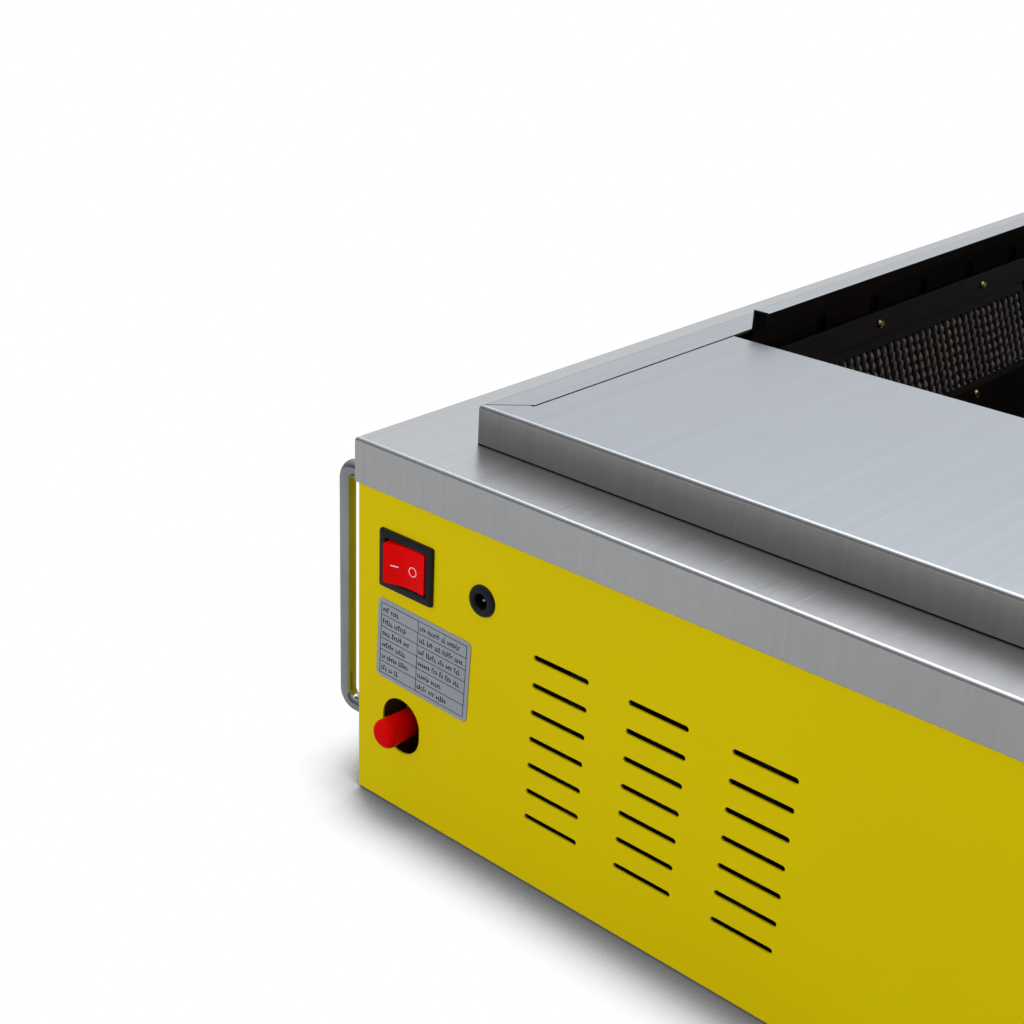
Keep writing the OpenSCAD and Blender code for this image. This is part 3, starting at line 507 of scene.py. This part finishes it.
def blockAt(bm, size, matrix, bevel=0.0, segments=2):
    made = bmesh.ops.create_cube(bm, size=1.0)["verts"]
    bmesh.ops.scale(bm, vec=size, verts=made)
    if bevel:
        edges = list({e for v in made for e in v.link_edges})
        result = bmesh.ops.bevel(bm, geom=edges, offset=bevel, segments=segments, profile=0.5,
                                 affect="EDGES", material=-1)
        made = list({v for f in result["faces"] for v in f.verts} | {v for v in made if v.is_valid})
    bmesh.ops.transform(bm, matrix=matrix, verts=made)
    for v in made:
        v.tag = True


def scaled(matrix):
    # millimetre shapes into the frame's metres
    return matrix @ Matrix.Scale(0.001, 4)


matPiece = {
    "lean": math.radians(22.6), "faceX": 86.0, "faceZ": 175.5, "height": 44.0, "length": 285.1,
    "pitch": 7.3, "strand": 1.75, "swing": 1.05, "turn": 11.6, "sides": 6, "perTurn": 10,
    "sink": -1.55, "back": -3.2, "backThick": 0.8, "margin": 0.6, "stray": 0.25, "uneven": 0.5,
    "swell": 0.10, "lumps": 0.06, "flat": 0.8, "seed": 40, "perSide": 3,
}


def burnerMat(number):
    p = matPiece
    right = number > p["perSide"]
    rng = random.Random(p["seed"] + number)
    bm = bmesh.new()
    side = -1 if right else 1
    middle = at(caseW - p["faceX"] if right else p["faceX"], 0, p["faceZ"])
    middle.y = middleOf(f"burner_mat_{number}").y
    outward = Vector((math.cos(p["lean"]) * side, 0, math.sin(p["lean"])))
    upslope = Vector((-math.sin(p["lean"]) * side, 0, math.cos(p["lean"])))
    along = Vector((0, 1, 0))

    def spot(a, y, b):
        return middle + (outward * a + along * y + upslope * b) / 1000

    backing = [[spot(a, y, b) for y, b in (
        (-p["length"] / 2, -p["height"] / 2), (p["length"] / 2, -p["height"] / 2),
        (p["length"] / 2, p["height"] / 2), (-p["length"] / 2, p["height"] / 2))]
        for a in (p["back"], p["back"] + p["backThick"])]
    loftRings(bm, backing)
    columns = int(p["length"] // p["pitch"])
    first = -(columns - 1) * p["pitch"] / 2
    steps = int(p["height"] / p["turn"] * p["perTurn"])
    for c in range(columns):
        y0 = first + c * p["pitch"] + rng.uniform(-p["stray"], p["stray"])
        phase = rng.uniform(-p["uneven"], p["uneven"])
        lean = rng.uniform(-p["uneven"], p["uneven"])
        for strand in (0, 1):
            rings = []
            for s in range(steps + 1):
                b = (p["height"] - 2 * p["margin"]) * (s / steps - 0.5)
                angle = phase + math.tau * b / p["turn"] + math.pi * strand
                swell = 1 + p["swell"] * math.sin(angle * 2 + c)
                swell += rng.uniform(-p["lumps"], p["lumps"])
                cy = y0 + lean * b / p["height"] + p["swing"] * math.sin(angle)
                ca = p["sink"] + p["swing"] * p["flat"] * math.cos(angle)
                rings.append([spot(ca + p["strand"] * swell * math.cos(t),
                                   cy + p["strand"] * swell * math.sin(t), b)
                              for t in (math.tau * k / p["sides"] for k in range(p["sides"]))])
            loftRings(bm, rings)
    addPiece(f"mat_cords_{number}", bm, materials["fibre_mat"], "casing",
             (f"burner_mat_{number}",), 60)


for number in range(1, 2 * matPiece["perSide"] + 1):
    burnerMat(number)
print("burner mats made")


switchPiece = {"w": 38.0, "h": 32.5, "proud": 2.0, "wellW": 29.4,
               "wellH": 23.4, "wellDeep": 9.0, "bodyW": 34.2, "bodyH": 28.2, "bodyDeep": 21.5}
switchAt = onPanel("switch_body")


def bezelPiece():
    p = switchPiece
    bm = bmesh.new()
    rings = [
        roundedRing(p["bodyW"], p["bodyH"], 1.0, p["bodyDeep"]),
        roundedRing(p["bodyW"], p["bodyH"], 1.0, 0.05),
        roundedRing(p["w"], p["h"], 1.4, 0.05),
        roundedRing(p["w"], p["h"], 1.4, -p["proud"] + 0.7),
        roundedRing(p["w"] - 0.5, p["h"] - 0.5, 1.2, -p["proud"] + 0.2),
        roundedRing(p["w"] - 1.4, p["h"] - 1.4, 1.0, -p["proud"]),
        roundedRing(p["wellW"] + 1.2, p["wellH"] + 1.2, 0.9, -p["proud"]),
        roundedRing(p["wellW"], p["wellH"], 0.6, -p["proud"] + 0.6),
        roundedRing(p["wellW"], p["wellH"], 0.6, p["wellDeep"]),
    ]
    loftRings(bm, rings)
    bmesh.ops.transform(bm, matrix=scaled(Matrix.Translation(switchAt)), verts=bm.verts)
    addPiece("switch_bezel", bm, materials["black_plastic"], "casing",
             ("switch_body",))


rockerPiece = {"half": 13.0, "tall": 22.4, "crest": 5.2, "rest": math.radians(8), "pivot": 3.0,
               "under": 3.5, "bow": 0.35, "ring": 0.38, "ringIn": 2.25, "ringOut": 2.68,
               "ringProud": 0.17, "bar": (4.8, 0.12, 0.6), "barAt": -0.5, "markDrop": -0.6}


def rockerMaterial():
    # clear red moulding with a faint waffle behind its face
    material, tree, shader = newMaterial("rockerLens", Roughness=0.22, Specular_IOR_Level=0.06)
    coord = newNode(tree, "ShaderNodeTexCoord")
    place = newNode(tree, "ShaderNodeSeparateXYZ")
    link(tree, coord.outputs["Object"], place.inputs[0])
    waves = [math2(tree, "SINE", math2(tree, "MULTIPLY", place.outputs[i], 7200.0))
             for i in (0, 2)]
    waffle = newNode(tree, "ShaderNodeMapRange", {"From Min": 0.0, "From Max": 0.8,
                                                  "To Max": 0.55})
    link(tree, math2(tree, "MULTIPLY", waves[0], waves[1]), waffle.inputs["Value"])
    grain = useGroup(tree, "moulded", 1.0)
    deep = mixColour(tree, grain.outputs["Tone"], (0.58, 0.0004, 0.0004), (0.68, 0.0005, 0.0005))
    link(tree, mixColour(tree, waffle.outputs[0], deep, (0.55, 0.0005, 0.0005)),
         shader.inputs["Base Color"])
    # faint red emission: a painted glow on the key
    shader.inputs["Emission Color"].default_value = (0.9, 0.0, 0.0, 1)
    shader.inputs["Emission Strength"].default_value = 0.08
    return material


def rockerFace(t):
    # how far the key's face stands out at t from -1 to 1 across it
    p = rockerPiece
    lift = p["half"] * math.tan(p["rest"])
    return -(p["crest"] + lift * abs(t)) + p["bow"] * math.sin(math.pi * abs(t))


def rockerKey():
    p = rockerPiece
    bm = bmesh.new()
    steps = 16
    outline = [(p["half"] * t, rockerFace(t))
               for t in (-1 + 2 * i / steps for i in range(steps + 1))]
    outline += [(p["half"] - 1, p["under"]), (1 - p["half"], p["under"])]
    turn = Matrix.Rotation(p["rest"], 4, "Z")
    layers = []
    for z, shrink in ((-1, 0.5), (-0.975, 0.15), (-0.94, 0), (0.94, 0), (0.975, 0.15), (1, 0.5)):
        layers.append([turn @ Vector((x * (1 - shrink / p["half"]), y + (shrink if y < 0 else 0),
                                      z * p["tall"] / 2)) for x, y in outline])
    loftRings(bm, layers)
    place = Matrix.Translation(switchAt) @ Matrix.Translation((0, p["pivot"] / 1000, 0))
    bmesh.ops.transform(bm, matrix=scaled(place), verts=bm.verts)
    addPiece("rocker_key", bm, rockerMaterial(), "rocker", ("switch_rocker",), 25)

    bm = bmesh.new()
    turned(bm, [(p["ringIn"], 0.0), (p["ringIn"], p["ringProud"]), (p["ringOut"], p["ringProud"]),
                (p["ringOut"], 0.0), (p["ringIn"], 0.0)], Matrix.Identity(4), 32)
    spot = p["ring"]
    face = math.atan2(rockerFace(spot + 0.1) - rockerFace(spot - 0.1), 0.2 * p["half"])
    lie = Matrix.Translation((p["half"] * spot, rockerFace(spot) + 0.03, p["markDrop"])) @ \
        Matrix.Rotation(face, 4, "Z") @ Matrix.Rotation(math.radians(90), 4, "X")
    bmesh.ops.transform(bm, matrix=lie, verts=bm.verts)
    face = math.atan2(rockerFace(1) - rockerFace(0), p["half"])
    lie = Matrix.Translation((p["half"] * p["barAt"], rockerFace(p["barAt"]), p["markDrop"])) @ \
        Matrix.Rotation(-face, 4, "Z")
    blockAt(bm, p["bar"], lie)
    bmesh.ops.transform(bm, matrix=scaled(place @ turn), verts=bm.verts)
    addPiece("rocker_marks", bm, markWhite, "rocker")


bezelPiece()
rockerKey()


socketPiece = {"r": 8.5, "hole": 4.0, "deep": 11.0, "pin": 1.15, "face": 1.95, "neck": 6.0,
               "tail": 14.0, "seat": 0.02}
capPiece = {"out": 14.5, "in": 11.0, "tip": 8.3, "round": 3.6, "wall": ((7.9, -3.0), (7.6, 4.0)),
            "foot": 7.35, "bore": 6.55, "boreEnd": 12.4}


def intoPanel(node):
    # local z runs into the case from the control panel's face
    return scaled(Matrix.Translation(onPanel(node)) @ Matrix.Rotation(math.radians(-90), 4, "X"))


def socketAndPin():
    p = socketPiece
    bm = bmesh.new()
    profile = [(0, p["deep"]), (p["hole"], p["deep"]), (p["hole"], -1.0), (p["hole"] + 0.5, -1.7),
               (p["hole"] + 1.1, -p["face"]), (p["r"] - 2.2, -p["face"]), (p["r"] - 0.9, -1.6),
               (p["r"] - 0.25, -0.9), (p["r"], -0.3), (p["r"], p["seat"]), (p["neck"], p["seat"]),
               (p["neck"], p["tail"]), (0, p["tail"])]
    turned(bm, profile, intoPanel("power_socket"))
    addPiece("socket_shell", bm, materials["black_plastic"], "casing",
             ("power_socket",))
    bm = bmesh.new()
    turned(bm, [(0, 0.6), (0.7, 0.7), (p["pin"], 1.3), (p["pin"], p["deep"]), (0, p["deep"])],
           intoPanel("power_socket"), 20)
    addPiece("socket_pin", bm, materials["zinc_steel"], "casing")


def capShell():
    p = capPiece
    bm = bmesh.new()
    steps = 8
    profile = [(0, -p["out"])]
    for i in range(steps + 1):
        angle = math.radians(90 * i / steps)
        profile.append((p["tip"] - p["round"] * (1 - math.sin(angle)),
                        -p["out"] + p["round"] * (1 - math.cos(angle))))
    profile += [*p["wall"], (p["foot"], p["in"] - 0.6), (p["foot"] - 0.25, p["in"]),
                (p["bore"] + 0.2, p["in"]), (p["bore"], p["in"] - 0.5),
                (p["bore"], -p["boreEnd"]), (0, -p["boreEnd"])]
    turned(bm, profile, intoPanel("inlet_fitting"))
    addPiece("cap_shell", bm, materials["red_vinyl"], "cap", ("inlet_cap",))


platePiece = {"w": 66.8, "h": 46.8, "turn": math.radians(-2),
              "edge": 2.6, "split": 0.44, "rows": 6, "line": 0.34, "ink": 0.55,
              "inkDeep": 0.06, "indent": (1.6, 1.4), "outdent": 1.5, "filled": (0.35, 0.98),
              "glyph": 0.95, "glyphTall": 3.0, "heights": (0.66, 0.7, 1.0), "stem": (0.45, 0.7),
              "arm": 0.8, "armThick": 0.5, "arms": (-0.42, 0.0, 0.42), "advance": 1.55,
              "wordGap": 1.3, "seed": 7}


def plateInk():
    # a ruled form with rows of meaningless strokes
    p = platePiece
    rng = random.Random(p["seed"])
    bm = bmesh.new()
    turn = Matrix.Rotation(-p["turn"], 4, "Y")
    place = scaled(Matrix.Translation(onPanel("rating_plate")) @ turn)
    left, right = -p["w"] / 2 + p["edge"], p["w"] / 2 - p["edge"]
    low, high = -p["h"] / 2 + p["edge"], p["h"] / 2 - p["edge"]
    split = left + (right - left) * p["split"]
    step = (high - low) / p["rows"]

    def stroke(x, z, w, h):
        blockAt(bm, (w, p["inkDeep"], h), place @ Matrix.Translation((x, -p["ink"], z)))

    for r in range(p["rows"] + 1):
        stroke((left + right) / 2, low + r * step, right - left + p["line"], p["line"])
    for x in (left, split, right):
        stroke(x, (low + high) / 2, p["line"], high - low)
    for r in range(p["rows"]):
        row = low + (r + 0.5) * step
        for start, end in ((left + p["indent"][0], split - p["outdent"]),
                           (split + p["indent"][1], right - p["outdent"])):
            x = start
            stop = start + (end - start) * rng.uniform(*p["filled"])
            while x < stop:
                for k in range(rng.randint(2, 6)):
                    if x > end - p["glyph"]:
                        break
                    tall = p["glyphTall"] * rng.choice(p["heights"])
                    middle = row - (p["glyphTall"] - tall) / 2
                    stroke(x, middle, p["glyph"] * rng.uniform(*p["stem"]), tall)
                    arm = middle + rng.choice(p["arms"]) * tall
                    stroke(x + p["glyph"] * 0.62, arm, p["glyph"] * p["arm"], p["armThick"])
                    x += p["glyph"] * p["advance"]
                x += p["glyph"] * p["wordGap"]
    addPiece("plate_ink", bm, inkDark, "casing")


socketAndPin()
capShell()
plateInk()
print("switch, socket, cap and plate made")


knobPiece = {"d": 40.0, "skirt": 4.5, "top": 20.0, "grip": 9.6, "z": 80.0, "rounding": 1.4,
             "line": (9.0, 1.3, 0.3), "lineAt": 12.4, "sideLineAt": 12.0}


def knobAt(number):
    # local z runs out of the side panel, from the knob's foot
    foot = Vector((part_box(f"knob_{number}")[0].x, middleOf(f"knob_{number}").y,
                   knobPiece["z"] / 1000))
    return Matrix.Translation(foot) @ Matrix.Rotation(math.radians(90), 4, "Y")


def gasKnob(number):
    p = knobPiece
    place = scaled(knobAt(number))
    bm = bmesh.new()
    r = p["d"] / 2
    profile = [(0, 0.2), (r - 1.4, 0), (r - 0.3, 0.4), (r, 1.2), (r, 3.0), (r - 0.4, 3.9),
               (r - 1.6, p["skirt"]), (r - 3.4, p["skirt"] + 1.2), (r - 4.6, p["skirt"] + 3.2),
               (r - 6.5, p["skirt"] + 4.2), (0, p["skirt"] + 4.6)]
    turned(bm, profile, place)
    blockAt(bm, (p["d"] - 4.0, p["grip"], p["top"] - 3.0),
            place @ Matrix.Translation((0, 0, p["top"] / 2 + 1.5)), p["rounding"], 3)
    addPiece(f"knob_shell_{number}", bm, materials["black_plastic"], f"knob_{number}",
             (f"knob_{number}",))
    bm = bmesh.new()
    blockAt(bm, p["line"], place @ Matrix.Translation((-p["lineAt"], 0, p["top"])))
    blockAt(bm, p["line"][::-1],
            place @ Matrix.Translation((-p["d"] / 2 + 2.0, 0, p["sideLineAt"])))
    addPiece(f"knob_line_{number}", bm, markWhite, f"knob_{number}")


for number in range(1, 2 * matPiece["perSide"] + 1):
    gasKnob(number)
print("knobs made")


studio = {
    "floor": 40.0, "floorElse": 0.38, "shadowReach": 0.05,
    "horizon": 0.30, "zenith": 0.90, "nearSide": 0.30, "farSide": 1.40,
    "camera": (581.08, -540.21, 516.70), "aim": (59.716, -0.368, 46.541), "lens": 58.75,
    "shift": (0.1307, 0.1882), "sky": (0.97, 0.985, 1.0, 1),
    "topBox": {"place": (-0.4, 0.3, 2.6), "aim": (0, 0, 0), "size": (2.6, 2.6), "watts": 34},
    "frontFill": {"place": (-0.5, -2.8, 1.0), "aim": (0, -0.5, 0.1), "size": (2.2, 1.6),
                  "watts": 40},
}


def floorPlane():
    bm = bmesh.new()
    bmesh.ops.create_grid(bm, x_segments=4, y_segments=4, size=studio["floor"])
    mesh = bpy.data.meshes.new("studio_floor")
    bm.to_mesh(mesh)
    bm.free()
    material, tree, shader = newMaterial("floorPaper")
    tree.nodes.remove(shader)
    # camera rays see an emission floor with a painted contact shadow from ambient occlusion; other
    # rays see a dim grey diffuse floor
    contactShadowAO = newNode(tree, "ShaderNodeAmbientOcclusion", {"Distance": studio["shadowReach"]},
                   samples=16)
    floorWithPaintedShadow = newNode(tree, "ShaderNodeEmission")
    link(tree, ramp(tree, contactShadowAO.outputs["AO"], ((0.45, 0.08), (0.62, 0.24), (0.80, 0.70),
                                               (0.95, 1.0))), floorWithPaintedShadow.inputs["Color"])
    paths = newNode(tree, "ShaderNodeLightPath")
    dim = newNode(tree, "ShaderNodeBsdfDiffuse")
    dim.inputs["Color"].default_value = (*[studio["floorElse"]] * 3, 1)
    mixer = newNode(tree, "ShaderNodeMixShader")
    link(tree, paths.outputs["Is Camera Ray"], mixer.inputs[0])
    link(tree, dim.outputs[0], mixer.inputs[1])
    link(tree, floorWithPaintedShadow.outputs[0], mixer.inputs[2])
    link(tree, mixer.outputs[0], tree.nodes["Material Output"].inputs["Surface"])
    mesh.materials.append(material)
    obj = bpy.data.objects.new("studio_floor", mesh)
    bpy.context.scene.collection.objects.link(obj)


def studioWorld():
    world = bpy.data.worlds.new("studioWorld")
    bpy.context.scene.world = world
    world.use_nodes = True
    tree = world.node_tree
    background = tree.nodes["Background"]
    coord = newNode(tree, "ShaderNodeTexCoord")
    way = newNode(tree, "ShaderNodeSeparateXYZ")
    link(tree, coord.outputs["Generated"], way.inputs[0])
    height = newNode(tree, "ShaderNodeMapRange", {"From Max": 0.9, "To Min": studio["horizon"],
                                                  "To Max": studio["zenith"]})
    link(tree, way.outputs[2], height.inputs["Value"])
    depth = newNode(tree, "ShaderNodeMapRange", {"From Min": -0.8, "From Max": 0.8,
                                                 "To Min": studio["nearSide"],
                                                 "To Max": studio["farSide"]})
    link(tree, way.outputs[1], depth.inputs["Value"])
    link(tree, math2(tree, "MULTIPLY", height.outputs[0], depth.outputs[0]),
         background.inputs["Strength"])
    white = newNode(tree, "ShaderNodeBackground")
    paths = newNode(tree, "ShaderNodeLightPath")
    mixer = newNode(tree, "ShaderNodeMixShader")
    link(tree, paths.outputs["Is Camera Ray"], mixer.inputs[0])
    link(tree, background.outputs[0], mixer.inputs[1])
    link(tree, white.outputs[0], mixer.inputs[2])
    background.inputs["Color"].default_value = studio["sky"]
    white.inputs["Color"].default_value = (1, 1, 1, 1)
    link(tree, mixer.outputs[0], tree.nodes["World Output"].inputs["Surface"])


def softLight(name, glossy=True):
    p = studio[name]
    data = bpy.data.lights.new(name, "AREA")
    data.shape = "RECTANGLE"
    data.size, data.size_y = p["size"]
    data.energy = p["watts"]
    obj = bpy.data.objects.new(name, data)
    bpy.context.scene.collection.objects.link(obj)
    obj.location = p["place"]
    way = Vector(p["aim"]) - Vector(p["place"])
    obj.rotation_euler = way.to_track_quat("-Z", "Y").to_euler()
    obj.visible_glossy = glossy
    obj.visible_camera = False


def studioCamera():
    data = bpy.data.cameras.new("studioCamera")
    data.sensor_width = 36.0
    data.lens = studio["lens"]
    data.shift_x, data.shift_y = studio["shift"]
    obj = bpy.data.objects.new("studioCamera", data)
    bpy.context.scene.collection.objects.link(obj)
    obj.location = at(*studio["camera"])
    obj.rotation_euler = [math.radians(angle) for angle in studio["aim"]]
    bpy.context.scene.camera = obj


floorPlane()
studioWorld()
studioCamera()
softLight("topBox")
softLight("frontFill", glossy=False)
bpy.context.scene.view_settings.view_transform = "Standard"
print("studio set")
